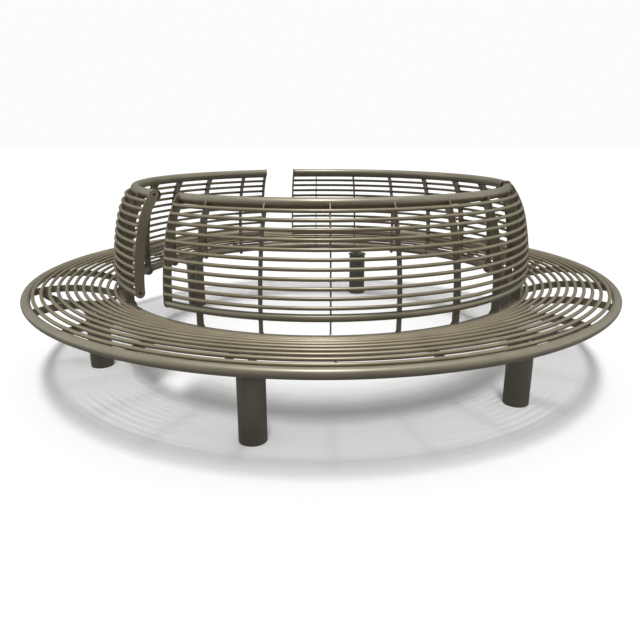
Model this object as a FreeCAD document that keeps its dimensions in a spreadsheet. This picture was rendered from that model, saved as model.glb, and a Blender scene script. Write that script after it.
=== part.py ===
import FreeCAD, Part
import math
import os
import Sketcher

# Tree bench: a round slatted seat on six posts, with three curved backrest
# panels that face outwards round an open well for the trunk. Everything is
# welded steel. Millimetres, origin on the ground in the middle of the well,
# +Z up. Azimuths are degrees round +Z from +X.

doc = FreeCAD.newDocument("tree_bench")


# The driving sizes, one plain number to a cell.
SIZES = (
    ("overall_diameter", 3050.0),
    ("seat_height", 439.8),
    ("first_seam_azimuth", -133.0),
    ("segment_total", 3),
    ("bay_total", 8),
    ("seat_clearance", 0.2),
    ("seam_gap", 0.3),
    ("ring_tube_diameter", 42.4),
    ("ring_tube_wall", 3.2),
    ("seat_depth", 436.3),
    ("inner_ring_drop", 38.1),
    ("crown_setback", 161.8),
    ("crown_rise", 15.3),
    ("crown_radius", 945.5),
    ("rib_thickness", 5.0),
    ("rib_depth", 32.8),
    ("rib_eye_diameter", 68.6),
    ("rod_diameter", 16.0),
    ("rod_sink", 2.3),
    ("seat_rod_total", 11),
    ("outer_rod_margin", 32.8),
    ("inner_rod_margin", 31.7),
    ("upright_width", 40.0),
    ("upright_setback", 15.1),
    ("upright_straight", 92.3),
    ("back_low_radius", 1213.0),
    ("back_low_angle", 14.0),
    ("back_high_radius", 405.0),
    ("back_top_angle", 37.7),
    ("back_rod_proud", 4.7),
    ("back_rod_total", 11),
    ("back_rod_start", 7.1),
    ("back_top_margin", 47.0),
    ("top_rail_diameter", 44.5),
    ("top_rail_wall", 2.6),
    ("bottom_rail_diameter", 32.0),
    ("bottom_rail_wall", 2.0),
    ("bottom_rail_rise", 3.0),
    ("bottom_rail_setback", 6.6),
    ("panel_gap_angle", 11.7),
    ("end_plate_lip", 6.7),
    ("end_plate_rise", 5.5),
    ("end_plate_top_angle", 37.0),
    ("end_plate_hole_diameter", 10.0),
    ("leg_setback", 303.8),
    ("leg_diameter", 114.3),
    ("leg_wall", 3.6),
    ("leg_top_height", 300.0),
    ("leg_cap_diameter", 128.0),
    ("leg_cap_thickness", 8.0),
    ("cradle_thickness", 8.0),
    ("cradle_under_radius", 388.0),
    ("cradle_heel_radius", 247.0),
    ("cradle_heel_offset", 82.0),
    ("cradle_heel_rise", 212.0),
    ("cradle_throat", 45.0),
    ("cradle_throat_offset", 25.0),
    ("cradle_outer_arm_radius", 334.0),
    ("cradle_inner_arm_radius", 500.0),
    ("cradle_foot_width", 100.0),
    ("foot_disc_thickness", 8.0),
    ("anchor_hole_diameter", 18.0),
    ("spigot_length", 120.0),
    ("spigot_clearance", 0.6),
)

sheet = doc.addObject("Spreadsheet::Sheet", "Sizes")
for row, (alias, number) in enumerate(SIZES, start=1):
    sheet.set("A%d" % row, alias)
    sheet.set("B%d" % row, str(number))
    sheet.setAlias("B%d" % row, alias)
doc.recompute()


def size(alias):
    """Read one driving size from the sheet."""
    return float(sheet.get(alias))


# The layout: radii and heights that several pieces share, each worked out
# from the driving sizes.
LAYOUT = (
    ("outer_ring_radius", "(Sizes.overall_diameter - Sizes.ring_tube_diameter) / 2"),
    ("outer_ring_height", "Sizes.seat_height - Sizes.ring_tube_diameter / 2"),
    ("inner_ring_radius", "Layout.outer_ring_radius - Sizes.seat_depth"),
    ("inner_ring_height", "Layout.outer_ring_height - Sizes.inner_ring_drop"),
    ("crown_place", "Layout.outer_ring_radius - Sizes.crown_setback"),
    ("crown_height", "Layout.outer_ring_height + Sizes.crown_rise - Sizes.crown_radius"),
    ("face_radius", "Layout.inner_ring_radius + Sizes.upright_setback"),
    ("back_start_height", "Layout.inner_ring_height + Sizes.upright_straight"),
    ("low_place", "Layout.face_radius - Sizes.back_low_radius"),
    ("high_place", "Layout.low_place + (Sizes.back_low_radius - Sizes.back_high_radius)"
                   " * cos(Sizes.back_low_angle)"),
    ("high_height", "Layout.back_start_height + (Sizes.back_low_radius - Sizes.back_high_radius)"
                    " * sin(Sizes.back_low_angle)"),
    ("top_rail_radius", "Layout.high_place + (Sizes.back_high_radius - Sizes.upright_width / 2)"
                        " * cos(Sizes.back_top_angle)"),
    ("top_rail_height", "Layout.high_height + (Sizes.back_high_radius - Sizes.upright_width / 2)"
                        " * sin(Sizes.back_top_angle)"),
    ("bottom_rail_radius", "Layout.face_radius - Sizes.bottom_rail_setback"),
    ("bottom_rail_height", "Layout.back_start_height + Sizes.bottom_rail_rise"),
    ("leg_circle_radius", "Layout.outer_ring_radius - Sizes.leg_setback"),
    ("throat_place", "Layout.leg_circle_radius + Sizes.cradle_throat_offset"),
    ("throat_height", "Sizes.leg_top_height + Sizes.cradle_throat"),
)

layout = doc.addObject("App::FeaturePython", "Layout")
for name, formula in LAYOUT:
    layout.addProperty("App::PropertyFloat", name, "Layout")
    layout.setExpression(name, formula)
    doc.recompute()


def span(name):
    """Read one derived length from the layout."""
    return float(getattr(layout, name))


SEGMENTS = "abc"[:int(size("segment_total"))]
SEGMENT_ANGLE = 360.0 / size("segment_total")
BAY_ANGLE = SEGMENT_ANGLE / size("bay_total")
PANEL_ANGLE = SEGMENT_ANGLE - size("panel_gap_angle")
UPWARD = FreeCAD.Vector(0, 0, 1)
HELPERS = []


def azimuth_turn(azimuth):
    """The placement that turns a piece drawn along +X to its azimuth."""
    return FreeCAD.Placement(FreeCAD.Vector(), FreeCAD.Rotation(UPWARD, azimuth))


def seam_azimuth(index):
    """Azimuth at which segment number index starts."""
    return size("first_seam_azimuth") + index * SEGMENT_ANGLE


def disc(name, radius, place, height, thickness, angle="360", turn=0.0):
    """A plate's round outline: a cylinder across the radial plane.

    Its centre is at radius place and the given height, its middle is in the
    plane of +X and +Z, and an angle under 360 makes a sector that starts
    turn degrees above +X and opens upwards.
    """
    piece = doc.addObject("Part::Cylinder", name)
    piece.setExpression("Radius", radius)
    piece.setExpression("Height", thickness)
    piece.setExpression("Angle", angle)
    doc.recompute()
    upright = FreeCAD.Rotation(FreeCAD.Vector(1, 0, 0), 90)
    opened = FreeCAD.Rotation(FreeCAD.Vector(0, -1, 0), turn)
    corner = FreeCAD.Vector(place, piece.Height.Value / 2, height)
    piece.Placement = FreeCAD.Placement(corner, opened.multiply(upright))
    HELPERS.append(piece)
    return piece


def block(name, low_place, high_place, low_height, high_height, thickness):
    """A plate's straight part, as a box across the radial plane."""
    piece = doc.addObject("Part::Box", name)
    piece.Length = high_place - low_place
    piece.Height = high_height - low_height
    piece.setExpression("Width", thickness)
    doc.recompute()
    piece.Placement.Base = FreeCAD.Vector(low_place, -piece.Width.Value / 2, low_height)
    HELPERS.append(piece)
    return piece


def cut(name, base, tool):
    """One solid less another."""
    piece = doc.addObject("Part::Cut", name)
    piece.Base = base
    piece.Tool = tool
    HELPERS.append(piece)
    return piece


def joined(name, pieces):
    """Several solids welded into one."""
    piece = doc.addObject("Part::MultiFuse", name)
    piece.Shapes = pieces
    piece.Refine = True
    HELPERS.append(piece)
    return piece


def shared(name, pieces):
    """What several solids have in common."""
    piece = doc.addObject("Part::MultiCommon", name)
    piece.Shapes = pieces
    HELPERS.append(piece)
    return piece


nodes = []


def keep(name, piece):
    """Give a finished sub-part its label and put it on the list of nodes."""
    piece.Label = name
    if piece in HELPERS:
        HELPERS.remove(piece)
    nodes.append(piece)
    return piece


def turned_copies(name, master, azimuths):
    """Like plates in one node: the master's shape turned to each azimuth."""
    doc.recompute()
    copies = []
    for azimuth in azimuths:
        plate = master.Shape.copy()
        plate.rotate(FreeCAD.Vector(), UPWARD, azimuth)
        copies.append(plate)
    piece = doc.addObject("Part::Feature", name)
    piece.Shape = Part.makeCompound(copies) if len(copies) > 1 else copies[0]
    return keep(name, piece)


# Rings and rails: bent round tube. A sketch of the tube's two circles is
# turned about the bench's axis through the segment's or the panel's angle.
def bent_tube(name, circle, tube, angle, azimuth):
    """A hollow tube along one circle of the layout, such as outer_ring."""
    body = doc.addObject("PartDesign::Body", name)
    sketch = body.newObject("Sketcher::SketchObject", name + "_section")
    plane = [f for f in body.Origin.OriginFeatures if f.Role == "XZ_Plane"][0]
    sketch.AttachmentSupport = (plane, [""])
    sketch.MapMode = "FlatFace"
    outside = size(tube + "_diameter")
    inside = outside - 2 * size(tube + "_wall")
    middle = FreeCAD.Vector(span(circle + "_radius"), span(circle + "_height"), 0)
    sketch.addGeometry(Part.Circle(middle, UPWARD, outside / 2), False)
    sketch.addGeometry(Part.Circle(middle, UPWARD, inside / 2), False)
    sketch.addConstraint(Sketcher.Constraint("Coincident", 0, 3, 1, 3))
    placed = (
        ("bend_radius", Sketcher.Constraint("DistanceX", -1, 1, 0, 3, middle.x),
         "Layout.%s_radius" % circle),
        ("bend_height", Sketcher.Constraint("DistanceY", -1, 1, 0, 3, middle.y),
         "Layout.%s_height" % circle),
        ("outside", Sketcher.Constraint("Diameter", 0, outside), "Sizes.%s_diameter" % tube),
        ("inside", Sketcher.Constraint("Diameter", 1, inside),
         "Sizes.%s_diameter - 2 * Sizes.%s_wall" % (tube, tube)),
    )
    for label, constraint, formula in placed:
        index = sketch.addConstraint(constraint)
        sketch.renameConstraint(index, label)
        sketch.setExpression("Constraints." + label, formula)
    bend = body.newObject("PartDesign::Revolution", name + "_bend")
    bend.Profile = sketch
    bend.ReferenceAxis = (sketch, ["V_Axis"])
    bend.Angle = angle
    body.Tip = bend
    body.Placement = azimuth_turn(azimuth)
    return keep(name, body)


def end_angle(distance, radius):
    """Angle at the axis for a small distance at a radius."""
    return math.degrees(math.asin(distance / radius))


for index, letter in enumerate(SEGMENTS):
    for ring in ("outer", "inner"):
        seam = end_angle(size("seam_gap") / 2, span(ring + "_ring_radius"))
        bent_tube("%s_ring_%s" % (ring, letter), ring + "_ring", "ring_tube",
                  SEGMENT_ANGLE - 2 * seam, seam_azimuth(index) + seam)
    for rail in ("top", "bottom"):
        half = size("rib_thickness") / 2 + size("seat_clearance")
        nearest = span(rail + "_rail_radius") - size(rail + "_rail_diameter") / 2
        stop = size("panel_gap_angle") / 2 + end_angle(half, nearest)
        bent_tube("%s_rail_%s" % (rail, letter), rail + "_rail", rail + "_rail",
                  SEGMENT_ANGLE - 2 * stop, seam_azimuth(index) + stop)


# Rods: solid round bar bent to circles. The seat's rods have their middles on
# the crown arc, at equal steps between the two margins.
def seat_rod_places():
    crown = size("crown_radius")
    outer = span("outer_ring_radius") - size("outer_rod_margin") - span("crown_place")
    inner = span("inner_ring_radius") + size("inner_rod_margin") - span("crown_place")
    first = math.asin(outer / crown)
    last = math.asin(inner / crown)
    total = int(size("seat_rod_total"))
    places = []
    for number in range(total):
        tilt = first + (last - first) * number / (total - 1)
        places.append((span("crown_place") + crown * math.sin(tilt),
                       span("crown_height") + crown * math.cos(tilt)))
    return places


# The back's rods follow the uprights' outer edge: two tangent arcs, a long
# one from the seat up and a tighter one that leans in to the top rail.
def back_rod_point(distance):
    """A rod's radius and height at a distance up the uprights' outer edge."""
    bend = math.radians(size("back_low_angle"))
    low_length = size("back_low_radius") * bend
    if distance < low_length:
        tilt = distance / size("back_low_radius")
        reach = size("back_low_radius") + size("back_rod_proud")
        return (span("low_place") + reach * math.cos(tilt),
                span("back_start_height") + reach * math.sin(tilt))
    tilt = bend + (distance - low_length) / size("back_high_radius")
    reach = size("back_high_radius") + size("back_rod_proud")
    return (span("high_place") + reach * math.cos(tilt),
            span("high_height") + reach * math.sin(tilt))


def back_rod_places():
    low = size("back_rod_start")
    bend = math.radians(size("back_low_angle"))
    lean = math.radians(size("back_top_angle")) - bend
    high = size("back_low_radius") * bend + size("back_high_radius") * lean
    total = int(size("back_rod_total"))
    step = (high - size("back_top_margin") - low) / total
    return [back_rod_point(low + step * number) for number in range(1, total + 1)]


def rod_group(name, places, start_gap, azimuth):
    """Rods that stop start_gap short of each end of their segment."""
    rods = []
    for radius, height in places:
        stop = start_gap(radius)
        rod = Part.makeTorus(radius, size("rod_diameter") / 2, FreeCAD.Vector(0, 0, height),
                             UPWARD, -180, 180, SEGMENT_ANGLE - 2 * stop)
        rod.rotate(FreeCAD.Vector(), UPWARD, azimuth + stop)
        rods.append(rod)
    piece = doc.addObject("Part::Feature", name)
    piece.Shape = Part.makeCompound(rods)
    return keep(name, piece)


def seat_rod_stop(radius):
    return end_angle(size("seam_gap") / 2, radius)


def back_rod_stop(radius):
    half = size("rib_thickness") / 2 + size("seat_clearance")
    return size("panel_gap_angle") / 2 + end_angle(half, radius - size("rod_diameter") / 2)


for index, letter in enumerate(SEGMENTS):
    rod_group("seat_rods_" + letter, seat_rod_places(), seat_rod_stop, seam_azimuth(index))
    rod_group("back_rods_" + letter, back_rod_places(), back_rod_stop, seam_azimuth(index))


# Ribs: plates cut from sheet, one in each bay, with round notches for the
# rods, an eye for the inner ring and an end coped to the outer ring.
THICK = "Sizes.rib_thickness"
NOTCH = "Sizes.rod_diameter / 2 + Sizes.seat_clearance"
TOP_EDGE = "Sizes.crown_radius + Sizes.rod_sink"


def rod_notches(name, places):
    """Round cutters, one for each rod that the plate carries."""
    pieces = []
    for number, (radius, height) in enumerate(places, start=1):
        pieces.append(disc("%s_%d" % (name, number), NOTCH, radius, height, THICK))
    return pieces


def seat_strip(name):
    """The rib's arched strip, from the inner ring's eye to the outer ring."""
    crown = (span("crown_place"), span("crown_height"))
    band = cut(name + "_band", disc(name + "_crown", TOP_EDGE, *crown, THICK),
               disc(name + "_underside", TOP_EDGE + " - Sizes.rib_depth", *crown, THICK))
    reach = block(name + "_reach", span("inner_ring_radius"),
                  span("outer_ring_radius") - size("ring_tube_diameter") / 4,
                  span("inner_ring_height") - size("rib_eye_diameter"),
                  span("crown_height") + size("crown_radius") + size("rod_diameter"), THICK)
    strip = shared(name + "_strip", [band, reach])
    eye = disc(name + "_eye", "Sizes.rib_eye_diameter / 2", span("inner_ring_radius"),
               span("inner_ring_height"), THICK)
    return [strip, eye]


def ring_cutters(name):
    """Clearance cutters for the two rings of the seat."""
    bore = "Sizes.ring_tube_diameter / 2 + Sizes.seat_clearance"
    return [disc("%s_%s" % (name, ring), bore, span(ring + "_ring_radius"),
                 span(ring + "_ring_height"), THICK) for ring in ("outer", "inner")]


def upright_bar(name, lip="0", foot_angle=0.0, top="Sizes.back_top_angle"):
    """The barrel-curved flat bar of the back, moved outwards by the lip.

    It runs from foot_angle on the lower arc to the top angle on the upper one.
    """
    low = (span("low_place"), span("back_start_height"))
    high = (span("high_place"), span("high_height"))
    outside = " + " + lip
    inside = " - Sizes.upright_width + " + lip
    low_arc = cut(name + "_low", disc(name + "_low_out", "Sizes.back_low_radius" + outside, *low,
                                      THICK, "Sizes.back_low_angle - %r" % foot_angle, foot_angle),
                  disc(name + "_low_in", "Sizes.back_low_radius" + inside, *low, THICK))
    high_arc = cut(name + "_high", disc(name + "_high_out", "Sizes.back_high_radius" + outside,
                                        *high, THICK, top + " - Sizes.back_low_angle",
                                        size("back_low_angle")),
                   disc(name + "_high_in", "Sizes.back_high_radius" + inside, *high, THICK))
    return [low_arc, high_arc]


seat_notches = rod_notches("seat_notch", seat_rod_places())
rail_bore = "Sizes.%s_rail_diameter / 2 + Sizes.seat_clearance"
rail_cutters = [disc(rail + "_rail_cope", rail_bore % rail, span(rail + "_rail_radius"),
                     span(rail + "_rail_height"), THICK) for rail in ("top", "bottom")]
post = block("rib_post", span("face_radius") - size("upright_width"), span("face_radius"),
             span("inner_ring_height"), span("back_start_height"), THICK)
rib_blank = joined("rib_blank", seat_strip("rib") + [post] + upright_bar("rib_bar"))
rib_cutters = joined("rib_cutters", seat_notches + rod_notches("back_notch", back_rod_places())
                     + ring_cutters("rib_bore") + rail_cutters)
rib = cut("rib_plate", rib_blank, rib_cutters)

# The rib at each seam carries no upright: it only joins two seat segments.
seam_blank = joined("seam_blank", seat_strip("seam"))
seam_cutters = joined("seam_cutters", seat_notches + ring_cutters("seam_bore"))
seam_rib = cut("seam_plate", seam_blank, seam_cutters)

for index, letter in enumerate(SEGMENTS):
    start = seam_azimuth(index)
    bays = range(1, int(size("bay_total")))
    turned_copies("seat_ribs_" + letter, rib, [start + BAY_ANGLE * bay for bay in bays])
    turned_copies("seam_rib_" + letter, seam_rib, [start])

# End plates: the same curved bar, set outwards to cover the rods' ends, with
# round ends and a hole near each rail's middle.
LIP = "Sizes.end_plate_lip"
middle_offset = size("end_plate_lip") - size("upright_width") / 2
low_middle = size("back_low_radius") + middle_offset
high_middle = size("back_high_radius") + middle_offset
foot_lean = size("end_plate_rise") / low_middle
top_lean = math.radians(size("end_plate_top_angle"))
round_end = "Sizes.upright_width / 2"
top_place = span("high_place") + high_middle * math.cos(top_lean)
top_level = span("high_height") + high_middle * math.sin(top_lean)
low_place = span("low_place") + low_middle * math.cos(foot_lean)
low_level = span("back_start_height") + low_middle * math.sin(foot_lean)
plate_ends = [disc("end_top", round_end, top_place, top_level, THICK),
              disc("end_foot", round_end, low_place, low_level, THICK)]
hole = "Sizes.end_plate_hole_diameter / 2"
plate_holes = [disc("end_hole_top", hole, top_place, top_level, THICK),
               disc("end_hole_foot", hole, low_place, low_level, THICK)]
end_bar = upright_bar("end_bar", LIP, math.degrees(foot_lean), "Sizes.end_plate_top_angle")
end_blank = joined("end_blank", end_bar + plate_ends)
end_plate = cut("end_plate_master", end_blank, joined("end_holes", plate_holes))

for index, letter in enumerate(SEGMENTS):
    start = seam_azimuth(index) + size("panel_gap_angle") / 2
    turned_copies("end_plate_%s_first" % letter, end_plate, [start])
    turned_copies("end_plate_%s_last" % letter, end_plate, [start + PANEL_ANGLE])

# Spigots: short inner sleeves that line up the ring tubes at each seam.
for index, letter in enumerate(SEGMENTS):
    sleeves = []
    for ring in ("outer", "inner"):
        radius = span(ring + "_ring_radius")
        fit = size("ring_tube_diameter") / 2 - size("ring_tube_wall") - size("spigot_clearance")
        sweep = math.degrees(size("spigot_length") / radius)
        level = FreeCAD.Vector(0, 0, span(ring + "_ring_height"))
        sleeve = Part.makeTorus(radius, fit, level, UPWARD, -180, 180, sweep)
        bore = Part.makeTorus(radius, fit - size("ring_tube_wall"), level, UPWARD, -180, 180, sweep)
        sleeve = sleeve.cut(bore)
        sleeve.rotate(FreeCAD.Vector(), UPWARD, seam_azimuth(index) - sweep / 2)
        sleeves.append(sleeve)
    spigots = doc.addObject("Part::Feature", "seam_spigots_" + letter)
    spigots.Shape = Part.makeCompound(sleeves)
    keep("seam_spigots_" + letter, spigots)


# Legs: a round tube straight to the ground, closed by a cap plate that carries
# the cradle, a curved plate whose arms reach up to the rib's underside.
def round_bar(name, diameter, height, level):
    """An upright cylinder on a leg's centre."""
    piece = doc.addObject("Part::Cylinder", name)
    piece.setExpression("Radius", "(%s) / 2" % diameter)
    piece.setExpression("Height", height)
    piece.Placement.Base = FreeCAD.Vector(span("leg_circle_radius"), 0, level)
    HELPERS.append(piece)
    return piece


tube_height = "Sizes.leg_top_height - Sizes.leg_cap_thickness"
bore_diameter = "Sizes.leg_diameter - 2 * Sizes.leg_wall"
leg_tube = cut("leg_tube_master", round_bar("leg_outside", "Sizes.leg_diameter", tube_height, 0.0),
               round_bar("leg_inside", bore_diameter, tube_height, 0.0))
leg_cap = round_bar("leg_cap_master", "Sizes.leg_cap_diameter", "Sizes.leg_cap_thickness",
                    size("leg_top_height") - size("leg_cap_thickness"))
disc_diameter = bore_diameter + " - 2 * Sizes.seat_clearance"
foot_disc = cut("foot_disc_master",
                round_bar("foot_round", disc_diameter, "Sizes.foot_disc_thickness", 0.0),
                round_bar("foot_hole", "Sizes.anchor_hole_diameter",
                          "Sizes.foot_disc_thickness", 0.0))

CRADLE = "Sizes.cradle_thickness"
leg_place = span("leg_circle_radius")
leg_top = size("leg_top_height")
under = disc("cradle_under", "Sizes.cradle_under_radius", leg_place,
             leg_top + size("cradle_under_radius"), CRADLE)
heel = disc("cradle_heel", "Sizes.cradle_heel_radius", leg_place + size("cradle_heel_offset"),
            leg_top + size("cradle_heel_rise"), CRADLE)
under_rib = disc("cradle_limit", TOP_EDGE + " - Sizes.rib_depth - Sizes.seat_clearance",
                 span("crown_place"), span("crown_height"), CRADLE)
arms = block("cradle_arms", span("inner_ring_radius"),
             span("outer_ring_radius") - size("ring_tube_diameter") / 2 - size("seat_clearance"),
             leg_top, span("outer_ring_height"), CRADLE)
half_foot = size("cradle_foot_width") / 2
foot = block("cradle_foot", leg_place - half_foot, leg_place + half_foot, leg_top,
             leg_top + size("cradle_throat") / 2, CRADLE)
outer_throat = disc("cradle_outer_throat", "Sizes.cradle_outer_arm_radius", span("throat_place"),
                    span("throat_height") + size("cradle_outer_arm_radius"), CRADLE, "180", -90)
inner_throat = disc("cradle_inner_throat", "Sizes.cradle_inner_arm_radius", span("throat_place"),
                    span("throat_height") + size("cradle_inner_arm_radius"), CRADLE, "180", 90)
eye_room = disc("cradle_eye_room", "Sizes.rib_eye_diameter / 2 + Sizes.seat_clearance",
                span("inner_ring_radius"), span("inner_ring_height"), CRADLE)
cradle = cut("cradle_master", joined("cradle_blank", [
    shared("cradle_reach", [under, heel, under_rib, arms]), foot]),
    joined("cradle_room", [outer_throat, inner_throat, eye_room]))

leg_number = 0
for index in range(len(SEGMENTS)):
    for bay in (2, 6):
        leg_number += 1
        azimuth = seam_azimuth(index) + BAY_ANGLE * bay
        turned_copies("leg_tube_%d" % leg_number, leg_tube, [azimuth])
        turned_copies("leg_cap_%d" % leg_number, leg_cap, [azimuth])
        turned_copies("leg_cradle_%d" % leg_number, cradle, [azimuth])
        turned_copies("foot_disc_%d" % leg_number, foot_disc, [azimuth])

doc.recompute()

# Every object has to be sound before anything is written.
for item in doc.Objects:
    if "Invalid" in item.State or "Error" in item.State:
        raise RuntimeError("object failed: " + item.Name)
for piece in nodes:
    if piece.Shape.isNull() or not piece.Shape.isValid() or not piece.Shape.Solids:
        raise RuntimeError("bad shape: " + piece.Label)

os.makedirs("parts", exist_ok=True)
for piece in nodes:
    piece.Shape.exportStep("parts/%s.step" % piece.Label)
    print("%-20s %3d solids %12.0f mm3" % (piece.Label, len(piece.Shape.Solids), piece.Shape.Volume))
print(len(nodes), "nodes")
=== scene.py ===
import math
import bpy
import numpy as np
from mathutils.geometry import tessellate_polygon
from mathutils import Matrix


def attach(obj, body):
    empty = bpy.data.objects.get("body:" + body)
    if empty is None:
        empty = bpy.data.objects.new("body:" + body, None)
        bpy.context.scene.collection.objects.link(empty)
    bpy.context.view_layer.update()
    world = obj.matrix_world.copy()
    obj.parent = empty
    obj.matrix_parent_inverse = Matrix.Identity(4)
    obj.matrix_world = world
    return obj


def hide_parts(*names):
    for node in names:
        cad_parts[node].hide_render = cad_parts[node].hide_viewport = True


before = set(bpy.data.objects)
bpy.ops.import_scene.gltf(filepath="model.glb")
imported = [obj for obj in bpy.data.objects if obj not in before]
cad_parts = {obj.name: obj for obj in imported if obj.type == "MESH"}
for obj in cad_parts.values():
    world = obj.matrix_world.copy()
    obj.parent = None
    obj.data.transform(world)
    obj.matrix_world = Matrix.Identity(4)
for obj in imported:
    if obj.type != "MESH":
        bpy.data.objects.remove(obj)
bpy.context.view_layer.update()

# Rings: the seat's outer and inner ring, 42.4 mm round tube bent to circles in
# three lengths that butt at the seams with a hairline joint. Bronze powder
# coat: fine flakes, a slight orange peel, dust where the surface faces up.
FIRST_SEAM = -133.0
LETTERS = "abc"
SEGMENT = 360.0 / len(LETTERS)
BAYS = 8
OUTER_RING = (1.5038, 0.4186)
INNER_RING = (1.0675, 0.3805)
RING_TUBE = 0.0424
RING_SEAM = 0.0003
RING_SIDES = 40
RING_PITCH = 0.016
RING_NIP = 0.0008


def effect_group(name, inputs, outputs):
    """An empty node group with named inputs (name, default) and outputs (name, kind)."""
    group = bpy.data.node_groups.new(name, "ShaderNodeTree")
    for label, default in inputs:
        kind = "NodeSocketColor" if isinstance(default, tuple) else "NodeSocketFloat"
        socket = group.interface.new_socket(label, in_out="INPUT", socket_type=kind)
        socket.default_value = default
    for label, kind in outputs:
        group.interface.new_socket(label, in_out="OUTPUT", socket_type=kind)
    return group, group.nodes.new("NodeGroupInput"), group.nodes.new("NodeGroupOutput")


def noise(tree, place, scale, detail=2.0, roughness=0.5):
    """A noise texture over object coordinates, scale in cells to a metre."""
    node = tree.nodes.new("ShaderNodeTexNoise")
    node.inputs["Scale"].default_value = scale
    node.inputs["Detail"].default_value = detail
    node.inputs["Roughness"].default_value = roughness
    tree.links.new(place, node.inputs["Vector"])
    return node.outputs["Fac"]


def remap(tree, value, low, high, out_low=0.0, out_high=1.0):
    """Stretch the span low to high of a value over out_low to out_high."""
    node = tree.nodes.new("ShaderNodeMapRange")
    node.inputs["From Min"].default_value = low
    node.inputs["From Max"].default_value = high
    node.inputs["To Min"].default_value = out_low
    node.inputs["To Max"].default_value = out_high
    tree.links.new(value, node.inputs["Value"])
    return node.outputs["Result"]


def mixed(tree, factor, first, second):
    """Blend two colours; either may be a plain colour or a socket."""
    node = tree.nodes.new("ShaderNodeMix")
    node.data_type = "RGBA"
    tree.links.new(factor, node.inputs["Factor"])
    for socket, value in ((node.inputs[6], first), (node.inputs[7], second)):
        if isinstance(value, tuple):
            socket.default_value = value
        else:
            tree.links.new(value, socket)
    return node.outputs[2]


def maths(tree, operation, first, second):
    """One arithmetic step on sockets or plain numbers."""
    node = tree.nodes.new("ShaderNodeMath")
    node.operation = operation
    for socket, value in zip(node.inputs, (first, second)):
        if isinstance(value, (int, float)):
            socket.default_value = value
        else:
            tree.links.new(value, socket)
    return node.outputs[0]


coat_effect, coat_in, coat_out = effect_group(
    "powder_coat_effect",
    (("Dark", (0.1, 0.1, 0.1, 1.0)), ("Light", (0.2, 0.2, 0.2, 1.0)),
     ("Dust", (0.5, 0.5, 0.5, 1.0)), ("Dust Amount", 0.1), ("Roughness", 0.4)),
    (("Color", "NodeSocketColor"), ("Roughness", "NodeSocketFloat"),
     ("Height", "NodeSocketFloat")))


FLAKE_GRAIN = 900.0
CLOUD_GRAIN = 7.0
PEEL_GRAIN = 260.0
DUST_GRAIN = 18.0


def fill_coat_effect():
    """Flake colour, dust and orange peel from three noises of different grain."""
    tree = coat_effect
    where = tree.nodes.new("ShaderNodeTexCoord").outputs["Object"]
    facing = tree.nodes.new("ShaderNodeNewGeometry").outputs["Normal"]
    flake = remap(tree, noise(tree, where, FLAKE_GRAIN, 1.0), 0.35, 0.65)
    cloud = remap(tree, noise(tree, where, CLOUD_GRAIN, 3.0), 0.3, 0.7)
    peel = noise(tree, where, PEEL_GRAIN, 2.0, 0.4)
    tint = mixed(tree, maths(tree, "ADD", maths(tree, "MULTIPLY", flake, 0.45),
                             maths(tree, "MULTIPLY", cloud, 0.45)),
                 coat_in.outputs["Dark"], coat_in.outputs["Light"])
    split = tree.nodes.new("ShaderNodeSeparateXYZ")
    tree.links.new(facing, split.inputs["Vector"])
    upward = remap(tree, split.outputs["Z"], 0.5, 1.0)
    patchy = remap(tree, noise(tree, where, DUST_GRAIN, 5.0, 0.65), 0.35, 0.75)
    dust = maths(tree, "MULTIPLY", maths(tree, "MULTIPLY", upward, patchy),
                 coat_in.outputs["Dust Amount"])
    tree.links.new(mixed(tree, dust, tint, coat_in.outputs["Dust"]), coat_out.inputs["Color"])
    rough = maths(tree, "ADD", coat_in.outputs["Roughness"],
                  maths(tree, "ADD", maths(tree, "MULTIPLY", cloud, 0.06),
                        maths(tree, "MULTIPLY", dust, 0.5)))
    tree.links.new(rough, coat_out.inputs["Roughness"])
    tree.links.new(maths(tree, "ADD", peel, maths(tree, "MULTIPLY", flake, 0.3)),
                   coat_out.inputs["Height"])


fill_coat_effect()


def coat_material(name, dark, light, dust=0.12, roughness=0.36, metallic=0.35, peel=0.00012):
    """A powder coat: dark and light flake colours, dust share, roughness and peel depth."""
    material = bpy.data.materials.new(name)
    material.use_nodes = True
    tree = material.node_tree
    shader = tree.nodes["Principled BSDF"]
    effect = tree.nodes.new("ShaderNodeGroup")
    effect.node_tree = coat_effect
    effect.inputs["Dark"].default_value = dark + (1.0,)
    effect.inputs["Light"].default_value = light + (1.0,)
    effect.inputs["Dust"].default_value = (0.42, 0.40, 0.34, 1.0)
    effect.inputs["Dust Amount"].default_value = dust
    effect.inputs["Roughness"].default_value = roughness
    tree.links.new(effect.outputs["Color"], shader.inputs["Base Color"])
    tree.links.new(effect.outputs["Roughness"], shader.inputs["Roughness"])
    shader.inputs["Metallic"].default_value = metallic
    shader.inputs["Coat Weight"].default_value = 0.3
    shader.inputs["Coat Roughness"].default_value = 0.25
    bump = tree.nodes.new("ShaderNodeBump")
    bump.inputs["Strength"].default_value = 0.35
    bump.inputs["Distance"].default_value = peel
    tree.links.new(effect.outputs["Height"], bump.inputs["Height"])
    tree.links.new(bump.outputs["Normal"], shader.inputs["Normal"])
    return material


tube_coat = coat_material("tube_powder_coat", (0.222, 0.196, 0.136), (0.362, 0.326, 0.238))


def grid_quads(rows, columns, start=0):
    """Quads of a rows x columns grid of points that closes on itself across."""
    row, column = np.meshgrid(np.arange(rows - 1), np.arange(columns), indexing="ij")
    after = (column + 1) % columns
    corners = (row * columns + column, row * columns + after,
               (row + 1) * columns + after, (row + 1) * columns + column)
    return np.stack([corner.ravel() for corner in corners], axis=1) + start


SHARP = math.radians(32.0)


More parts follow.
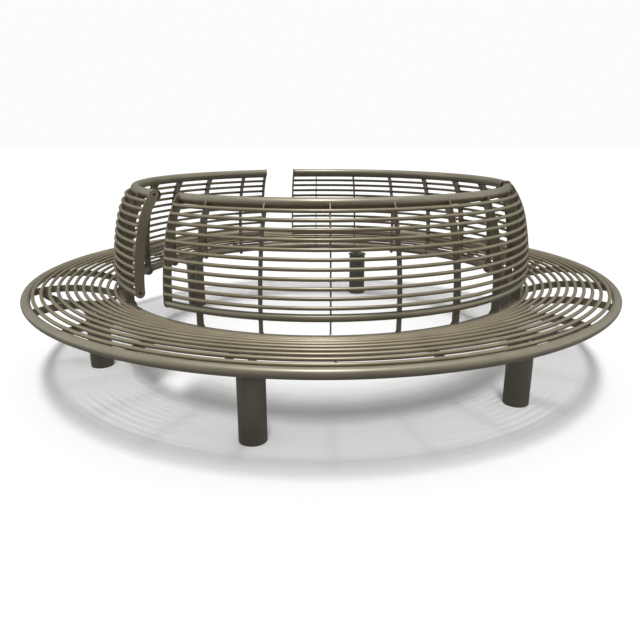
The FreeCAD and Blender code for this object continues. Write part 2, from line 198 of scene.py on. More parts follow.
def add_piece(name, parts, material, *nodes):
    """One object from (points, quads, triangles) parts; it stands for the nodes."""
    counts = np.cumsum([0] + [len(points) for points, _, _ in parts])
    points = np.concatenate([part[0] for part in parts])
    quads = np.concatenate([np.reshape(part[1], (-1, 4)) + first
                            for part, first in zip(parts, counts)]).astype(int)
    triangles = np.concatenate([np.reshape(part[2], (-1, 3)) + first
                                for part, first in zip(parts, counts)]).astype(int)
    mesh = bpy.data.meshes.new(name)
    mesh.vertices.add(len(points))
    mesh.vertices.foreach_set("co", points.astype(np.float32).ravel())
    loops = np.concatenate([quads.ravel(), triangles.ravel()]).astype(np.int32)
    starts = np.concatenate([np.arange(len(quads)) * 4,
                             len(quads) * 4 + np.arange(len(triangles)) * 3]).astype(np.int32)
    mesh.loops.add(len(loops))
    mesh.loops.foreach_set("vertex_index", loops)
    mesh.polygons.add(len(starts))
    mesh.polygons.foreach_set("loop_start", starts)
    mesh.update(calc_edges=True)
    mesh.shade_smooth()
    mesh.set_sharp_from_angle(angle=SHARP)
    mesh.materials.append(material)
    piece = bpy.data.objects.new(name, mesh)
    bpy.context.scene.collection.objects.link(piece)
    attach(piece, "root")
    if nodes:
        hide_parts(*nodes)
    return piece


def bent_bar(circle, diameter, start, end, sides, pitch, chamfer, hollow=0.0):
    """A round bar along a level circle of (radius, height), between two azimuths.

    P(t, s) = (q cos t, q sin t, height + b sin s), q = radius + b cos s, where b
    is half the diameter, less a chamfer at each end. A hollow of some depth
    opens a tube's ends.
    """
    radius, height = circle
    half = diameter / 2
    start, end = math.radians(start), math.radians(end)
    nip = chamfer / radius
    steps = max(2, int(math.ceil((end - start) * radius / pitch)))
    turn = np.concatenate([[start], np.linspace(start + nip, end - nip, steps), [end]])
    thick = np.concatenate([[half - chamfer], np.full(steps, half), [half - chamfer]])
    around = np.linspace(0.0, 2 * math.pi, sides, endpoint=False)
    reach = radius + thick[:, None] * np.cos(around)
    rise = height + thick[:, None] * np.sin(around)
    points = np.stack([reach * np.cos(turn)[:, None], reach * np.sin(turn)[:, None], rise], -1)
    sink = hollow / radius
    middles = [(radius * math.cos(a), radius * math.sin(a), height)
               for a in (start + sink, end - sink)]
    points = np.concatenate([points.reshape(-1, 3), middles])
    rows = len(turn)
    first = np.arange(sides)
    after = (first + 1) % sides
    last = (rows - 1) * sides
    centre = rows * sides
    caps = np.concatenate([np.stack([first, after, np.full(sides, centre)], 1)[:, ::-1],
                           np.stack([last + first, last + after, np.full(sides, centre + 1)], 1)])
    return points, grid_quads(rows, sides)[:, ::-1], caps[:, ::-1]


def end_degrees(distance, radius):
    """Degrees at the bench's axis for a small distance at a radius."""
    return math.degrees(math.asin(distance / radius))


def seam_azimuth(index):
    """Azimuth at which a segment starts, in degrees."""
    return FIRST_SEAM + index * SEGMENT


for index, letter in enumerate(LETTERS):
    for name, circle in (("outer_ring_", OUTER_RING), ("inner_ring_", INNER_RING)):
        seam = end_degrees(RING_SEAM / 2, circle[0])
        add_piece(name + letter + "_tube",
                  [bent_bar(circle, RING_TUBE, seam_azimuth(index) + seam,
                            seam_azimuth(index + 1) - seam, RING_SIDES, RING_PITCH, RING_NIP)],
                  tube_coat, name + letter)

# Rails: a 44.5 mm round tube along the top of each back panel, and a 32 mm one
# along its foot. Both butt against the end plates and are welded there.
SHEET = 0.005
FIT = 0.0002
PANEL_GAP = 11.7
FACE = INNER_RING[0] + 0.0151
LOW_ARC = 1.213
HIGH_ARC = 0.405
LOW_BEND = math.radians(14.0)
TOP_BEND = math.radians(37.7)
UPRIGHT = 0.040
BELLY_RISE = 0.0923
LOW_CENTRE = (FACE - LOW_ARC, INNER_RING[1] + BELLY_RISE)
HIGH_CENTRE = (LOW_CENTRE[0] + (LOW_ARC - HIGH_ARC) * math.cos(LOW_BEND),
               LOW_CENTRE[1] + (LOW_ARC - HIGH_ARC) * math.sin(LOW_BEND))
TOP_RAIL = (HIGH_CENTRE[0] + (HIGH_ARC - UPRIGHT / 2) * math.cos(TOP_BEND),
            HIGH_CENTRE[1] + (HIGH_ARC - UPRIGHT / 2) * math.sin(TOP_BEND))
BOTTOM_RAIL_INSET = 0.0066
BOTTOM_RAIL_RISE = 0.003
BOTTOM_RAIL = (FACE - BOTTOM_RAIL_INSET, LOW_CENTRE[1] + BOTTOM_RAIL_RISE)
TOP_RAIL_TUBE = 0.0445
BOTTOM_RAIL_TUBE = 0.032
RAIL_PITCH = 0.014
RAIL_NIP = 0.0006
RAIL_HOLLOW = 0.12


def panel_stop(radius):
    """Degrees from a seam to where a bar meets the end plate's inner face."""
    return PANEL_GAP / 2 + end_degrees(SHEET / 2 + FIT, radius)


for index, letter in enumerate(LETTERS):
    for name, circle, tube, sides in (("top_rail_", TOP_RAIL, TOP_RAIL_TUBE, RING_SIDES),
                                      ("bottom_rail_", BOTTOM_RAIL, BOTTOM_RAIL_TUBE, 32)):
        stop = panel_stop(circle[0] - tube / 2)
        add_piece(name + letter + "_tube",
                  [bent_bar(circle, tube, seam_azimuth(index) + stop,
                            seam_azimuth(index + 1) - stop, sides, RAIL_PITCH, RAIL_NIP,
                            RAIL_HOLLOW)],
                  tube_coat, name + letter)

# Seat rods: eleven 16 mm round bars in each segment, bent to circles and set
# on a slight crown, so the seat falls away to both rings.
rod_coat = coat_material("rod_powder_coat", (0.230, 0.196, 0.121), (0.380, 0.330, 0.222),
                         dust=0.08, roughness=0.34)
ROD = 0.016
ROD_TOTAL = 11
CROWN_RADIUS = 0.7525
CROWN_INSET = 0.1506
CROWN_RISE = 0.0268
CROWN = (OUTER_RING[0] - CROWN_INSET, OUTER_RING[1] + CROWN_RISE - CROWN_RADIUS)
OUTER_MARGIN = 0.0328
INNER_MARGIN = 0.0317
ROD_SIDES = 16
SEAT_ROD_PITCH = 0.022
tilts = np.linspace(math.asin((OUTER_RING[0] - OUTER_MARGIN - CROWN[0]) / CROWN_RADIUS),
                    math.asin((INNER_RING[0] + INNER_MARGIN - CROWN[0]) / CROWN_RADIUS),
                    ROD_TOTAL)
seat_rods = [(CROWN[0] + CROWN_RADIUS * math.sin(tilt), CROWN[1] + CROWN_RADIUS * math.cos(tilt))
             for tilt in tilts]

for index, letter in enumerate(LETTERS):
    bars = []
    for circle in seat_rods:
        seam = end_degrees(RING_SEAM / 2, circle[0])
        bars.append(bent_bar(circle, ROD, seam_azimuth(index) + seam,
                             seam_azimuth(index + 1) - seam, ROD_SIDES, SEAT_ROD_PITCH,
                             RING_NIP))
    add_piece("seat_rods_%s_bars" % letter, bars, rod_coat, "seat_rods_" + letter)

# Back rods: eleven 16 mm round bars in each panel, proud of the uprights'
# outer edge, at even steps along its barrel curve.
ROD_PROUD = 0.0047
ROD_START = 0.0071
TOP_MARGIN = 0.047
BACK_ROD_PITCH = 0.020
low_length = LOW_ARC * LOW_BEND
high_length = low_length + HIGH_ARC * (TOP_BEND - LOW_BEND)
rod_step = (high_length - TOP_MARGIN - ROD_START) / ROD_TOTAL
back_rods = []
for number in range(1, ROD_TOTAL + 1):
    along = ROD_START + rod_step * number
    if along < low_length:
        middle, reach, lean = LOW_CENTRE, LOW_ARC + ROD_PROUD, along / LOW_ARC
    else:
        middle, reach = HIGH_CENTRE, HIGH_ARC + ROD_PROUD
        lean = LOW_BEND + (along - low_length) / HIGH_ARC
    back_rods.append((middle[0] + reach * math.cos(lean), middle[1] + reach * math.sin(lean)))

for index, letter in enumerate(LETTERS):
    bars = []
    for circle in back_rods:
        stop = panel_stop(circle[0] - ROD / 2)
        bars.append(bent_bar(circle, ROD, seam_azimuth(index) + stop,
                             seam_azimuth(index + 1) - stop, ROD_SIDES, BACK_ROD_PITCH,
                             RAIL_NIP))
    add_piece("back_rods_%s_bars" % letter, bars, rod_coat, "back_rods_" + letter)

# Seat ribs: 5 mm plates, one in each bay. A strip under the seat rods runs
# from an eye on the inner ring to the outer ring, and an upright rises from
# the eye to the top rail. Every rod lies in a round notch.
plate_coat = coat_material("plate_powder_coat", (0.206, 0.176, 0.124), (0.345, 0.300, 0.222),
                           dust=0.10, roughness=0.40)
NOTCH = ROD / 2 + FIT
RIB_DEPTH = 0.0340
EYE = 0.0343
RING_BORE = RING_TUBE / 2 + FIT
EDGE = 0.0006
TOP_EDGE = CROWN_RADIUS - ROD_PROUD
UNDER_EDGE = TOP_EDGE - RIB_DEPTH
NOTCH_FLOOR = -math.pi / 2 - 0.25
POST_FOOT = -0.021


def crossing(centre, radius, other, reach):
    """Angles at which the circle about centre meets the circle about other."""
    away = np.subtract(other, centre)
    distance = float(np.hypot(*away))
    middle = math.atan2(away[1], away[0])
    spread = math.acos((radius ** 2 + distance ** 2 - reach ** 2) / (2 * radius * distance))
    return middle - spread, middle + spread


def arc(centre, radius, start, end, step=0.008):
    """Points along a circle from one angle to another: C + R (cos a, sin a)."""
    count = max(3, int(abs(end - start) * radius / step) + 1, int(abs(end - start) / 0.16) + 1)
    angle = np.linspace(start, end, count)
    return np.stack([centre[0] + radius * np.cos(angle), centre[1] + radius * np.sin(angle)], 1)


def cope(centre, first, last, through):
    """A concave cut: the arc about centre from first to last by way of an angle."""
    ends = []
    for point in (first, last):
        away = np.subtract(point, centre)
        lean = math.atan2(away[1], away[0]) - through
        ends.append(math.remainder(lean, 2 * math.pi))
    return arc(centre, float(np.hypot(*np.subtract(first, centre))),
               through + ends[0], through + ends[1])


def notched_arc(centre, radius, start, end, bites):
    """An arc with round bites, each (place, radius), cut in towards its centre."""
    pieces = []
    angle = start
    for place, reach in bites:
        near, far = crossing(centre, radius, place, reach)
        pieces.append(arc(centre, radius, angle, near))
        pieces.append(cope(place, pieces[-1][-1], arc(centre, radius, far, far)[0],
                           (near + far) / 2 + math.pi)[1:-1])
        angle = far
    pieces.append(arc(centre, radius, angle, end))
    return np.concatenate(pieces)


def inset(loop, distance):
    """A closed loop moved inwards (to its left) by a distance."""
    before = loop - np.roll(loop, 1, axis=0)
    after = np.roll(loop, -1, axis=0) - loop
    before /= np.linalg.norm(before, axis=1)[:, None]
    after /= np.linalg.norm(after, axis=1)[:, None]
    left = np.stack([-(before + after)[:, 1], (before + after)[:, 0]], 1)
    left /= np.maximum(np.linalg.norm(left, axis=1)[:, None], 0.5)
    return loop + left * distance


def clean_loop(pieces):
    """Join outline pieces and drop points that lie on top of one another."""
    loop = np.concatenate([np.reshape(piece, (-1, 2)) for piece in pieces])
    apart = np.linalg.norm(loop - np.roll(loop, 1, axis=0), axis=1) > 0.00015
    return loop[apart]


def plate(outline, holes, thickness):
    """A flat plate across the radial plane with a small chamfer round every edge.

    The outline runs anticlockwise and the holes clockwise in (radius, height).
    """
    loops = [outline] + list(holes)
    flats = [inset(loop, EDGE) for loop in loops]
    counts = np.cumsum([0] + [len(loop) for loop in loops])
    total = counts[-1]
    levels = ((-thickness / 2, flats), (-thickness / 2 + EDGE, loops),
              (thickness / 2 - EDGE, loops), (thickness / 2, flats))
    points = np.concatenate([np.insert(np.concatenate(rims), 1, level, axis=1)
                             for level, rims in levels])
    quads = []
    for first, last in zip(counts, counts[1:]):
        here = np.arange(first, last)
        after = np.concatenate([here[1:], here[:1]])
        for level in range(3):
            quads.append(np.stack([here, after, after + total, here + total], 1) + level * total)
    faces = tessellate_polygon([[(x, z, 0.0) for x, z in loop] for loop in flats])
    faces = np.array(faces)
    flat = np.concatenate(flats)
    corner = flat[faces]
    doubled = ((corner[:, 1, 0] - corner[:, 0, 0]) * (corner[:, 2, 1] - corner[:, 0, 1])
               - (corner[:, 2, 0] - corner[:, 0, 0]) * (corner[:, 1, 1] - corner[:, 0, 1]))
    faces = np.where(doubled[:, None] < 0, faces[:, ::-1], faces)
    faces = faces[np.abs(doubled) > 1e-12]
    return points, np.concatenate(quads), np.concatenate([faces, faces[:, ::-1] + 3 * total])


def turned(part, azimuth):
    """A part drawn along +X, turned about the bench's axis."""
    points, quads, triangles = part
    turn = math.radians(azimuth)
    x = points[:, 0] * math.cos(turn) - points[:, 1] * math.sin(turn)
    y = points[:, 0] * math.sin(turn) + points[:, 1] * math.cos(turn)
    return np.stack([x, y, points[:, 2]], 1), quads, triangles


def seat_edges():
    """The seat strip's end at the outer ring, its crown with notches, its underside."""
    top_start = crossing(CROWN, TOP_EDGE, OUTER_RING, RING_BORE)[1]
    end_place = OUTER_RING[0] - RING_TUBE / 4
    under_start = math.acos((end_place - CROWN[0]) / UNDER_EDGE)
    ring_meet = (end_place, OUTER_RING[1] - math.sqrt(RING_BORE ** 2 - (RING_TUBE / 4) ** 2))
    last_rod = seat_rods[-1]
    last_start = crossing(CROWN, TOP_EDGE, last_rod, NOTCH)[0]
    top = notched_arc(CROWN, TOP_EDGE, top_start, last_start,
                      [(place, NOTCH) for place in seat_rods[:-1]])
    eye_start = crossing(INNER_RING, EYE, last_rod, NOTCH)[1]
    eye_point = arc(INNER_RING, EYE, eye_start, eye_start)[0]
    last_bite = cope(last_rod, top[-1], eye_point, NOTCH_FLOOR)[1:-1]
    under_eye = crossing(INNER_RING, EYE, CROWN, UNDER_EDGE)[1]
    meeting = arc(INNER_RING, EYE, under_eye, under_eye)[0]
    under_end = math.atan2(meeting[1] - CROWN[1], meeting[0] - CROWN[0])
    under = arc(CROWN, UNDER_EDGE, under_end, under_start)
    ring_end = cope(OUTER_RING, ring_meet, top[0], math.pi)[:-1]
    return top, last_bite, eye_start, under_eye, under, ring_end


def rib_outline():
    """The full rib: seat strip, eye and upright, anticlockwise from the outer ring."""
    top, last_bite, eye_start, under_eye, under, ring_end = seat_edges()
    post_angle = math.acos((FACE - INNER_RING[0]) / EYE)
    eye_corner = arc(INNER_RING, EYE, eye_start, post_angle)
    rail_bite = (BOTTOM_RAIL, BOTTOM_RAIL_TUBE / 2 + FIT)
    rods = [(place, NOTCH) for place in back_rods]
    low_rods = [rod for rod in rods if math.atan2(rod[0][1] - LOW_CENTRE[1],
                                                 rod[0][0] - LOW_CENTRE[0]) < LOW_BEND]
    high_rods = rods[len(low_rods):]
    outer_low = notched_arc(LOW_CENTRE, LOW_ARC, POST_FOOT, LOW_BEND, [rail_bite] + low_rods)
    rail_bore = TOP_RAIL_TUBE / 2 + FIT
    outer_end = crossing(HIGH_CENTRE, HIGH_ARC, TOP_RAIL, rail_bore)[0]
    inner_end = crossing(HIGH_CENTRE, HIGH_ARC - UPRIGHT, TOP_RAIL, rail_bore)[0]
    outer_high = notched_arc(HIGH_CENTRE, HIGH_ARC, LOW_BEND, outer_end, high_rods)
    inner_high = arc(HIGH_CENTRE, HIGH_ARC - UPRIGHT, inner_end, LOW_BEND)
    inner_low = arc(LOW_CENTRE, LOW_ARC - UPRIGHT, LOW_BEND, 0.0)
    top_cope = cope(TOP_RAIL, outer_high[-1], inner_high[0], TOP_BEND - math.pi / 2)[1:-1]
    back_angle = math.acos((FACE - UPRIGHT - INNER_RING[0]) / EYE)
    eye_back = arc(INNER_RING, EYE, back_angle, 2 * math.pi + under_eye)
    return clean_loop([top, last_bite, eye_corner, outer_low, outer_high, top_cope,
                       inner_high, inner_low, eye_back, under, ring_end])


def round_hole(centre, diameter):
    """A clockwise loop for a round hole."""
    return clean_loop([arc(centre, diameter / 2, 2 * math.pi, 0.0, 0.003)])


ring_hole = round_hole(INNER_RING, 2 * RING_BORE)
rib = plate(rib_outline(), [ring_hole], SHEET)
for index, letter in enumerate(LETTERS):
    ribs = [turned(rib, seam_azimuth(index) + SEGMENT / BAYS * bay) for bay in range(1, BAYS)]
    add_piece("seat_ribs_%s_plates" % letter, ribs, plate_coat, "seat_ribs_" + letter)

# Seam ribs: at each seam a rib without an upright carries the ends of the rods
# of two segments. Its end reaches round the outer and lower side of the ring.
HOOK_START = math.radians(50.0)
HOOK_END = math.radians(-100.0)
LAST_NOTCH = math.radians(-172.0)


def seam_outline():
    """The seat strip and the hook that holds the inner ring, anticlockwise."""
    top, _, _, under_eye, under, ring_end = seat_edges()
    notch_side = arc(seat_rods[-1], NOTCH, LAST_NOTCH, LAST_NOTCH)[:1]
    bite = cope(seat_rods[-1], top[-1], notch_side[0], NOTCH_FLOOR)[1:-1]
    return clean_loop([top, bite, notch_side, arc(INNER_RING, RING_BORE, HOOK_START, HOOK_END),
                       arc(INNER_RING, EYE, HOOK_END, under_eye), under, ring_end])


seam_rib = plate(seam_outline(), [], SHEET)
for index, letter in enumerate(LETTERS):
    add_piece("seam_rib_%s_plate" % letter, [turned(seam_rib, seam_azimuth(index))],
              plate_coat, "seam_rib_" + letter)

# End plates: a curved flat bar with round ends closes each side of a panel. It
# covers the rods' ends and has a 12 mm hole near each rail's middle.
LIP = 0.0122
END_WIDTH = 0.0450
END_MIDDLE = LIP - END_WIDTH / 2
END_HOLE = 0.012
FOOT_RISE = 0.0055
FOOT_LEAN = FOOT_RISE / (LOW_ARC + END_MIDDLE)
END_LEAN = math.radians(37.0)


def end_outline():
    """The end plate, anticlockwise: outer edge up, round top, inner edge down, round foot."""
    low_out, high_out = LOW_ARC + LIP, HIGH_ARC + LIP
    top = arc(HIGH_CENTRE, HIGH_ARC + END_MIDDLE, END_LEAN, END_LEAN)[0]
    foot = arc(LOW_CENTRE, LOW_ARC + END_MIDDLE, FOOT_LEAN, FOOT_LEAN)[0]
    half = END_WIDTH / 2
    loop = clean_loop([arc(LOW_CENTRE, low_out, FOOT_LEAN, LOW_BEND),
                       arc(HIGH_CENTRE, high_out, LOW_BEND, END_LEAN),
                       arc(top, half, END_LEAN, END_LEAN + math.pi, 0.003),
                       arc(HIGH_CENTRE, high_out - END_WIDTH, END_LEAN, LOW_BEND),
                       arc(LOW_CENTRE, low_out - END_WIDTH, LOW_BEND, FOOT_LEAN),
                       arc(foot, half, FOOT_LEAN - math.pi, FOOT_LEAN, 0.003)])
    return loop, [round_hole(top, END_HOLE), round_hole(foot, END_HOLE)]


end_plate = plate(*end_outline(), SHEET)
for index, letter in enumerate(LETTERS):
    for side, azimuth in (("first", seam_azimuth(index) + PANEL_GAP / 2),
                          ("last", seam_azimuth(index + 1) - PANEL_GAP / 2)):
        name = "end_plate_%s_%s" % (letter, side)
        add_piece(name + "_bar", [turned(end_plate, azimuth)], plate_coat, name)

# Legs: six 114 mm round tubes straight to the ground, under the second and the
# sixth rib of each segment. A cap plate with a rounded rim closes each, and a
# disc with an anchor hole is welded inside its foot.
# The legs' coat is a darker copy of the bronze powder coat: painted shade standing in for the
# shade under the seat.
leg_coat_painted_shade = coat_material("leg_powder_coat_painted_shade", (0.160, 0.150, 0.112), (0.260, 0.243, 0.185),
                         dust=0.05, roughness=0.30)
LEG_INSET = 0.3038
LEG_PLACE = OUTER_RING[0] - LEG_INSET
LEG_TOP = 0.300
LEG_TUBE = 0.1143
LEG_WALL = 0.0036
CAP = 0.128
CAP_SHEET = 0.008
FOOT_SHEET = 0.008
ANCHOR = 0.018
LEG_BAYS = (2, 6)
TUBE_NIP = 0.0008
CAP_NIP = 0.0014
FOOT_NIP = 0.0006
CAP_MIDDLE = 0.0001


def lathe(profile, centre, sides=96):
    """A ring turned about an upright axis: P(s, a) = C + (r cos a, r sin a, z)."""
    profile = np.array(profile)
    angle = np.linspace(0.0, 2 * math.pi, sides, endpoint=False)
    loop = np.concatenate([profile, profile[:1]])
    points = np.stack([centre + loop[:, :1] * np.cos(angle), loop[:, :1] * np.sin(angle),
                       np.repeat(loop[:, 1:], sides, axis=1)], -1)
    return points.reshape(-1, 3), grid_quads(len(loop), sides), np.empty((0, 3), int)


def chamfered(inner, outer, low, high, nip):
    """The section of a ring from inner to outer radius with nipped outer corners."""
    return [(inner, low), (outer - nip, low), (outer, low + nip), (outer, high - nip),
            (outer - nip, high), (inner, high)]


tube = lathe(chamfered(LEG_TUBE / 2 - LEG_WALL, LEG_TUBE / 2, 0.0, LEG_TOP - CAP_SHEET,
                       TUBE_NIP), LEG_PLACE)
cap = lathe(chamfered(CAP_MIDDLE, CAP / 2, LEG_TOP - CAP_SHEET, LEG_TOP, CAP_NIP), LEG_PLACE)
foot = lathe(chamfered(ANCHOR / 2, LEG_TUBE / 2 - LEG_WALL - FIT, 0.0, FOOT_SHEET,
                       FOOT_NIP), LEG_PLACE)
leg_azimuths = [seam_azimuth(index) + SEGMENT / BAYS * bay
                for index in range(len(LETTERS)) for bay in LEG_BAYS]
for number, azimuth in enumerate(leg_azimuths, start=1):
    for node, suffix, part in (("leg_tube_", "_wall", tube), ("leg_cap_", "_round", cap),
                               ("foot_disc_", "_round", foot)):
        name = node + str(number)
        add_piece(name + suffix, [turned(part, azimuth)], leg_coat_painted_shade, name)

# Cradles: an 8 mm curved plate on each cap. Two arms reach up to the rib's
# underside, a long one outwards to the ring and one inwards under the eye.
CRADLE_SHEET = 0.008
UNDER = 0.388
HEEL = 0.247
HEEL_CENTRE = (LEG_PLACE + 0.082, LEG_TOP + 0.212)
UNDER_CENTRE = (LEG_PLACE, LEG_TOP + UNDER)
THROAT = (LEG_PLACE + 0.025, LEG_TOP + 0.045)
OUTER_ARM = 0.334
INNER_ARM = 0.500
FOOT_WIDTH = 0.100


def cradle_outline():
    """The cradle, anticlockwise from the foot's outer corner."""
    half = FOOT_WIDTH / 2
    rib_edge = UNDER_EDGE - FIT
    room = EYE + FIT
    tip_lean = crossing(UNDER_CENTRE, UNDER, CROWN, rib_edge)[1]
    tip = arc(UNDER_CENTRE, UNDER, tip_lean, tip_lean)[0]
    tip_from = math.atan2(tip[1] - CROWN[1], tip[0] - CROWN[0])
    outer_throat = (THROAT[0], THROAT[1] + OUTER_ARM)
    inner_throat = (THROAT[0], THROAT[1] + INNER_ARM)
    rib_to = crossing(CROWN, rib_edge, outer_throat, OUTER_ARM)[0]
    rib_meet = arc(CROWN, rib_edge, rib_to, rib_to)[0]
    eye_lean = crossing(INNER_RING, room, inner_throat, INNER_ARM)[0]
    eye_meet = arc(INNER_RING, room, eye_lean, eye_lean)[0]
    heel_lean = crossing(INNER_RING, room, HEEL_CENTRE, HEEL)[0]
    heel_meet = arc(INNER_RING, room, heel_lean, heel_lean)[0]
    heel_foot = (LEG_PLACE - half, HEEL_CENTRE[1] - math.sqrt(
        HEEL ** 2 - (LEG_PLACE - half - HEEL_CENTRE[0]) ** 2))
    return clean_loop([
        [(LEG_PLACE + half, LEG_TOP)],
        arc(UNDER_CENTRE, UNDER, -math.acos(half / UNDER), tip_lean),
        arc(CROWN, rib_edge, tip_from, rib_to),
        cope(outer_throat, rib_meet, THROAT, -math.pi / 4),
        cope(inner_throat, THROAT, eye_meet, -math.pi * 3 / 4),
        cope(INNER_RING, eye_meet, heel_meet, -math.pi / 4),
        cope(HEEL_CENTRE, heel_meet, heel_foot, -math.pi * 3 / 4),
        [(LEG_PLACE - half, LEG_TOP)]])


cradle = plate(cradle_outline(), [], CRADLE_SHEET)
for number, azimuth in enumerate(leg_azimuths, start=1):
    name = "leg_cradle_" + str(number)
    add_piece(name + "_plate", [turned(cradle, azimuth)], plate_coat, name)

# Welds: small rippled fillets where rods lie in the plates, where the rings
# and rails pass or meet them, round the legs' caps and along the cradles' feet.
weld_coat = coat_material("weld_powder_coat", (0.184, 0.160, 0.110), (0.312, 0.272, 0.195),
                          dust=0.04, roughness=0.42)
SEAT_ROD_BEAD = 0.0014
RING_BEAD = 0.0022
BOTTOM_RAIL_BEAD = 0.0020
END_RAIL_BEAD = 0.0019
END_ROD_BEAD = 0.0013
CAP_BEAD = 0.0026
CRADLE_BEAD = 0.0020
RIPPLE = 0.14
RIPPLE_LENGTH = 0.0016
TAPER = 0.35


def bead_arcs(centres, radius, start, end, side, size, steps, sides=6):
    """Fillets along arcs in the plate's plane, one for each (radius, height) centre.

    P(t, s) = C + (R + b cos s)(cos t, sin t) in the plane and side + b sin s
    across it, where b swells and shrinks along the arc as a hand weld does.
    """
    turn = np.linspace(start, end, steps)
    swell = 1.0 + RIPPLE * np.sin(turn * radius / RIPPLE_LENGTH)
    swell[0] = swell[-1] = TAPER
    around = np.linspace(0.0, 2 * math.pi, sides, endpoint=False)
    b = size * swell[:, None]
    reach = radius + b * np.cos(around)
    x = reach * np.cos(turn)[:, None]
    z = reach * np.sin(turn)[:, None]
    y = side + b * np.sin(around)
    loop = np.stack([x, y + np.zeros_like(x), z], -1).reshape(-1, 3)
    parts = []
    for place in centres:
        parts.append((loop + np.array([place[0], 0.0, place[1]]), grid_quads(steps, sides),
                      np.empty((0, 3), int)))
    return parts


def bead_line(start, end, side, size, steps, sides=6):
    """A straight rippled fillet between two (radius, height) points."""
    along = np.linspace(0.0, 1.0, steps)
    length = float(np.hypot(*np.subtract(end, start)))
    swell = 1.0 + RIPPLE * np.sin(along * length / RIPPLE_LENGTH)
    swell[0] = swell[-1] = TAPER
    around = np.linspace(0.0, 2 * math.pi, sides, endpoint=False)
    b = size * swell[:, None]
    x = start[0] + (end[0] - start[0]) * along[:, None] + np.zeros(sides)
    z = start[1] + (end[1] - start[1]) * along[:, None] + b * np.sin(around)
    y = side + b * np.cos(around)
    return np.stack([x, y, z], -1).reshape(-1, 3), grid_quads(steps, sides), np.empty((0, 3), int)


def joined_part(parts):
    """Several parts as one, so a whole rib's beads turn together."""
    counts = np.cumsum([0] + [len(part[0]) for part in parts])
    return (np.concatenate([part[0] for part in parts]),
            np.concatenate([part[1] + first for part, first in zip(parts, counts)]),
            np.concatenate([part[2] + first for part, first in zip(parts, counts)]))


face = SHEET / 2
seat_beads, back_beads, eye_beads, hook_beads = [], [], [], []
for side in (-face, face):
    seat_beads += bead_arcs(seat_rods, ROD / 2, math.radians(216), math.radians(324), side,
                            SEAT_ROD_BEAD, 18)
    eye_beads += bead_arcs([INNER_RING], RING_TUBE / 2, 0.0, 2 * math.pi, side, RING_BEAD, 90)
    hook_beads += bead_arcs([INNER_RING], RING_TUBE / 2, HOOK_END, HOOK_START, side,
                             RING_BEAD, 50)
    seat_beads += bead_arcs([OUTER_RING], RING_TUBE / 2, math.radians(152), math.radians(222),
                            side, RING_BEAD, 34)
    back_beads += bead_arcs(back_rods, ROD / 2, math.radians(118), math.radians(250), side,
                            SEAT_ROD_BEAD, 20)
    back_beads += bead_arcs([BOTTOM_RAIL], BOTTOM_RAIL_TUBE / 2, math.radians(72),
                            math.radians(288), side, BOTTOM_RAIL_BEAD, 60)
    back_beads += bead_arcs([TOP_RAIL], TOP_RAIL_TUBE / 2, math.radians(252),
                            math.radians(345), side, RING_BEAD, 50)
seam_weld = joined_part(seat_beads + hook_beads)
rib_weld = joined_part(seat_beads + eye_beads + back_beads)
for index, letter in enumerate(LETTERS):
    start = seam_azimuth(index)
    parts = [turned(seam_weld, start)]
    parts += [turned(rib_weld, start + SEGMENT / BAYS * bay) for bay in range(1, BAYS)]
    add_piece("rib_welds_" + letter, parts, weld_coat)

end_beads = []
for circle, size in ((TOP_RAIL, TOP_RAIL_TUBE), (BOTTOM_RAIL, BOTTOM_RAIL_TUBE)):
    end_beads += bead_arcs([circle], size / 2, 0.0, 2 * math.pi, face,
                           END_RAIL_BEAD, 90)
end_beads += bead_arcs(back_rods, ROD / 2, 0.0, 2 * math.pi, face, END_ROD_BEAD, 30)
first_weld = joined_part(end_beads)
last_weld = (first_weld[0] * np.array([1.0, -1.0, 1.0]), first_weld[1][:, ::-1], first_weld[2])
for index, letter in enumerate(LETTERS):
    parts = [turned(first_weld, seam_azimuth(index) + PANEL_GAP / 2),
             turned(last_weld, seam_azimuth(index + 1) - PANEL_GAP / 2)]
    add_piece("end_welds_" + letter, parts, weld_coat)

cap_bead = lathe([(LEG_TUBE / 2 + CAP_BEAD * math.cos(s), LEG_TOP - CAP_SHEET
                   + CAP_BEAD * math.sin(s)) for s in np.linspace(0, 2 * math.pi, 9)[:-1]],
                 LEG_PLACE)
cradle_face = CRADLE_SHEET / 2
foot_ends = [(LEG_PLACE - FOOT_WIDTH / 2, LEG_TOP), (LEG_PLACE + FOOT_WIDTH / 2, LEG_TOP)]
for number, azimuth in enumerate(leg_azimuths, start=1):
    beads = [cap_bead]
    for side in (-cradle_face, cradle_face):
        beads.append(bead_line(*foot_ends, side, CAP_BEAD, 70))
        beads += bead_arcs([CROWN], UNDER_EDGE, math.radians(81.6), math.radians(85.0), side,
                           CRADLE_BEAD, 40)
    add_piece("leg_welds_%d" % number, [turned(bead, azimuth) for bead in beads], weld_coat)

# Spigots: plain steel sleeves inside the ring tubes at each seam.
sleeve = bpy.data.materials.new("sleeve_steel")
sleeve.use_nodes = True
sleeve.node_tree.nodes["Principled BSDF"].inputs["Base Color"].default_value = (
    0.45, 0.44, 0.42, 1.0)
sleeve.node_tree.nodes["Principled BSDF"].inputs["Metallic"].default_value = 1.0
sleeve.node_tree.nodes["Principled BSDF"].inputs["Roughness"].default_value = 0.35
for letter in LETTERS:
    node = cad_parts["seam_spigots_" + letter]
    node.data.materials.clear()
    node.data.materials.append(sleeve)

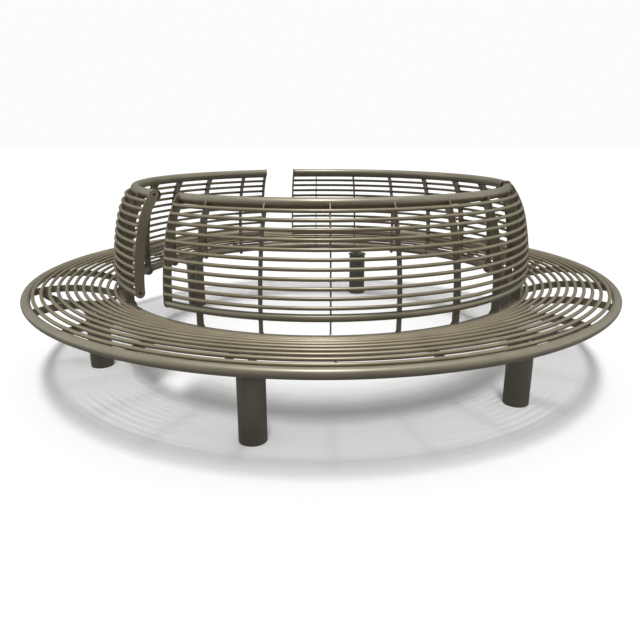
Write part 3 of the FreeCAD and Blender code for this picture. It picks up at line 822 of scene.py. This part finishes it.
# Floor and light: a plain pale floor. Three suns in a short strip make one soft
# key light from above and a little in front; the white studio round the bench
# is bright for the camera and dim for the metal.
FLOOR_REACH = 40.0
FLOOR_SHOWN = 0.9
FLOOR_BOUNCE = 0.19
BACKDROP = 0.975
DOME_TOP = 0.7
DOME_LOW = 0.15
FRONT_SHADE = 0.10
SIDE_PANELS = 1.2
SUN_LEANS = (8.7, 14.7, 20.7)
SUN_STRENGTH = 0.75
SUN_SPREAD = math.radians(8.0)
floor = bpy.data.meshes.new("floor")
floor.from_pydata([(-FLOOR_REACH, -FLOOR_REACH, 0), (FLOOR_REACH, -FLOOR_REACH, 0),
                   (FLOOR_REACH, FLOOR_REACH, 0), (-FLOOR_REACH, FLOOR_REACH, 0)],
                  [], [(0, 1, 2, 3)])
ground = bpy.data.objects.new("floor", floor)
bpy.context.scene.collection.objects.link(ground)
pale = bpy.data.materials.new("pale_floor")
pale.use_nodes = True
tree = pale.node_tree
path = tree.nodes.new("ShaderNodeLightPath")
tree.links.new(mixed(tree, path.outputs["Is Camera Ray"], (FLOOR_BOUNCE,) * 3 + (1.0,),
                     (FLOOR_SHOWN,) * 3 + (1.0,)),
               tree.nodes["Principled BSDF"].inputs["Base Color"])
tree.nodes["Principled BSDF"].inputs["Roughness"].default_value = 0.9
tree.nodes["Principled BSDF"].inputs["Specular IOR Level"].default_value = 0.0
floor.materials.append(pale)

for number, lean in enumerate(SUN_LEANS, start=1):
    lamp = bpy.data.lights.new("key_sun_%d" % number, "SUN")
    lamp.energy = SUN_STRENGTH
    lamp.angle = SUN_SPREAD
    holder = bpy.data.objects.new(lamp.name, lamp)
    bpy.context.scene.collection.objects.link(holder)
    holder.rotation_euler = (math.radians(lean), 0.0, 0.0)

world = bpy.data.worlds.new("studio")
world.use_nodes = True
tree = world.node_tree
room = tree.nodes["Background"]
room.inputs["Color"].default_value = (1.0, 1.0, 1.0, 1.0)
split = tree.nodes.new("ShaderNodeSeparateXYZ")
tree.links.new(tree.nodes.new("ShaderNodeTexCoord").outputs["Generated"], split.inputs["Vector"])
dome = maths(tree, "POWER", remap(tree, split.outputs["Z"], 0.0, 1.0), 2.5)
dome = maths(tree, "ADD", maths(tree, "MULTIPLY", dome, DOME_TOP), DOME_LOW)
dome = maths(tree, "MULTIPLY", dome,
             remap(tree, split.outputs["Y"], -1.0, -0.4, FRONT_SHADE, 1.0))
sides = maths(tree, "POWER", maths(tree, "ABSOLUTE", split.outputs["X"], 0.0), 6.0)
dome = maths(tree, "ADD", dome, maths(tree, "MULTIPLY", sides, SIDE_PANELS))
path = tree.nodes.new("ShaderNodeLightPath")
shown = maths(tree, "MAXIMUM",
              maths(tree, "MULTIPLY", path.outputs["Is Camera Ray"], BACKDROP), dome)
tree.links.new(shown, room.inputs["Strength"])
bpy.context.scene.world = world
bpy.context.scene.view_settings.view_transform = "Standard"

# Camera: stands 3.3 m in front of the middle of the well at 1.16 m height and
# looks down by 17 degrees, as the photograph does.
CAMERA_PLACE = (0.0, -3.3327, 1.1648)
CAMERA_DIP = 0.2992
CAMERA_LENS = 34.17
CAMERA_SHIFT = -0.00184
lens = bpy.data.cameras.new("camera")
lens.sensor_width = 36.0
lens.lens = CAMERA_LENS
lens.shift_x = CAMERA_SHIFT
viewer = bpy.data.objects.new("camera", lens)
bpy.context.scene.collection.objects.link(viewer)
viewer.location = CAMERA_PLACE
viewer.rotation_euler = (math.pi / 2 - CAMERA_DIP, 0.0, 0.0)
bpy.context.scene.camera = viewer
